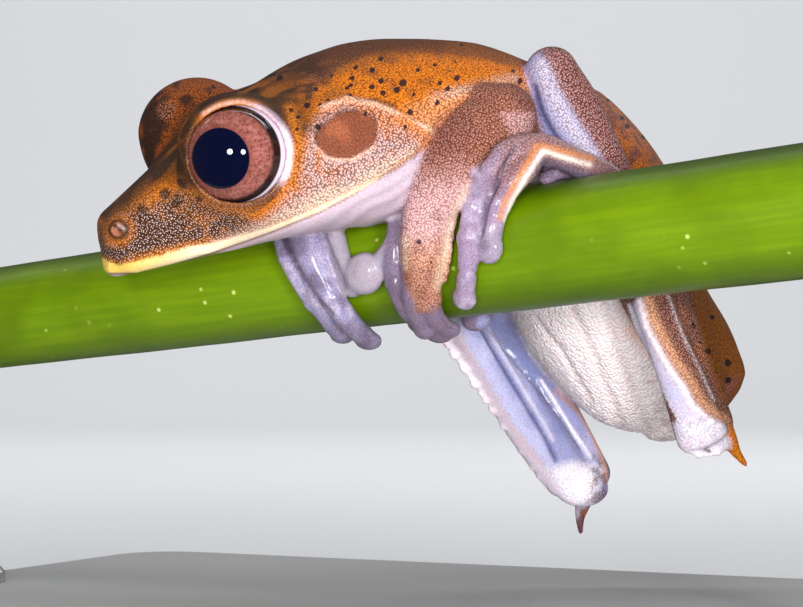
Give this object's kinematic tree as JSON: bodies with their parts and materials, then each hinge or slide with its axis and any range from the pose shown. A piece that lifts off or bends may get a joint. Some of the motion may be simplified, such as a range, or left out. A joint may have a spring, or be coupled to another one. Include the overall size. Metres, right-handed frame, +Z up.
{
  "type": "tree frog display model",
  "caption": "Life-size still model of a large-eyed tree frog gripping a green stem, held above a flat base by steel rods.",
  "frame": {"origin": "on the underside of the stand's base, below the stem's axis at the frog's hands", "axes": "+X along the stem in plan, from the frog's snout to its rump; +Y from the side where the hands hang over the stem to the side where the body hangs; +Z up"},
  "size_m": [0.0887, 0.06, 0.0484],
  "materials": {
    "back_skin": "moist orange brown skin with fine granules",
    "belly_skin": "moist white granular skin",
    "limb_skin": "moist brown skin with fine granules",
    "lilac_skin": "smooth moist lilac skin",
    "eye": "clear wet globe over a copper iris and a black pupil",
    "stem": "smooth waxy green",
    "stand_base": "satin black",
    "stand_rod": "brushed"
  },
  "bodies": {
    "root": {"stem": "stem", "head": "back_skin", "eye_left": "eye", "eye_right": "eye", "torso_front": "back_skin", "torso_rear": "belly_skin", "upper_arm_left": "limb_skin", "forearm_left": "limb_skin", "hand_left": "lilac_skin", "upper_arm_right": "limb_skin", "forearm_right": "limb_skin", "hand_right": "lilac_skin", "thigh_left": "limb_skin", "shank_left": "limb_skin", "tarsus_left": "lilac_skin", "foot_left": "lilac_skin", "thigh_right": "limb_skin", "shank_right": "limb_skin", "tarsus_right": "lilac_skin", "foot_right": "lilac_skin", "stand_base": "stand_base", "stand_rod_left": "stand_rod", "stand_rod_right": "stand_rod"}
  },
  "joints": []
}
